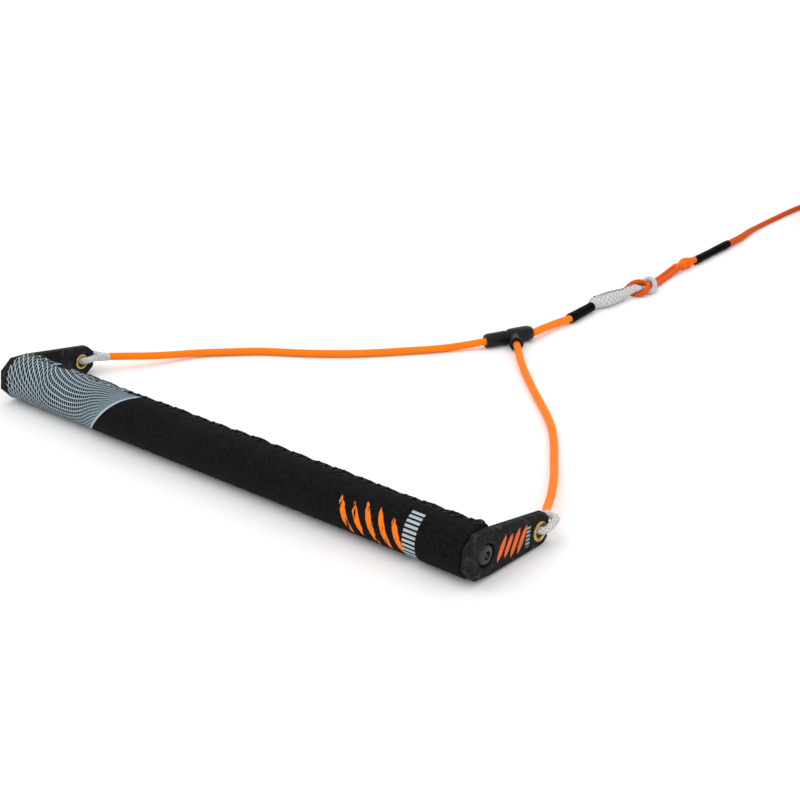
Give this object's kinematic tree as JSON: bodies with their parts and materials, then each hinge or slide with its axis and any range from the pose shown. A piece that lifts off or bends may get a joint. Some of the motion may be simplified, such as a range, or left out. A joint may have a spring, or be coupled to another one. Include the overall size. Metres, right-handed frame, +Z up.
{
  "type": "tow rope handle",
  "caption": "Padded bar with two rigid end caps, a rope bridle that joins in a T-shaped moulding, and a stitched loop hitched to a coiled towline.",
  "frame": {"origin": "on the surface that the handle lies on, under the middle of the handle's box", "axes": "+X along the bar to its right end, +Y along the rope away from the bar, +Z up"},
  "size_m": [0.4038, 0.812, 0.0419],
  "materials": {
    "aluminium_tube": "drawn tube, satin",
    "foam": "closed-cell foam",
    "grip_rubber": "matte, finely textured",
    "stitching": "waxed thread",
    "plug_plastic": "moulded",
    "brass": "satin",
    "seal_rubber": "smooth",
    "cap_plastic": "moulded, satin",
    "screw_steel": "black oxide",
    "white_braid": "hollow braid",
    "orange_rope": "coated, smooth",
    "moulding_rubber": "moulded",
    "shrink_sleeve": "heat-shrunk tube",
    "line_rope": "hollow braid",
    "strap": "woven strap"
  },
  "bodies": {
    "handle": {"bar_tube": "aluminium_tube", "foam_sleeve": "foam", "grip_cover": "grip_rubber", "seam_lacing": "stitching", "end_plug_left": "plug_plastic", "end_plug_right": "plug_plastic", "plug_insert_left": "brass", "plug_insert_right": "brass", "seal_ring_left": "seal_rubber", "seal_ring_right": "seal_rubber", "end_cap_left": "cap_plastic", "end_cap_right": "cap_plastic", "cap_screw_left": "screw_steel", "cap_screw_right": "screw_steel", "eyelet_left": "brass", "eyelet_right": "brass", "eyelet_washer_left": "brass", "eyelet_washer_right": "brass"},
    "bridle": {"eye_left": "white_braid", "eye_right": "white_braid", "leg_left": "orange_rope", "leg_right": "orange_rope", "tee_moulding": "moulding_rubber", "throat_rope": "orange_rope", "throat_sleeve": "shrink_sleeve", "end_loop": "white_braid", "loop_whipping": "stitching", "line_loop": "line_rope", "line_knot": "line_rope", "line_sleeve": "shrink_sleeve", "line_splice": "line_rope", "mainline": "line_rope", "mainline_coil": "line_rope", "coil_ties": "strap", "tow_loop": "line_rope", "tow_sleeve": "shrink_sleeve"}
  },
  "joints": [
    {"name": "bridle_swing", "type": "hinge", "parent": "handle", "child": "bridle", "pos_m": [0, 0.02739, 0.01033], "axis": [1, 0, 0], "range_deg": [-105, 105]}
  ]
}
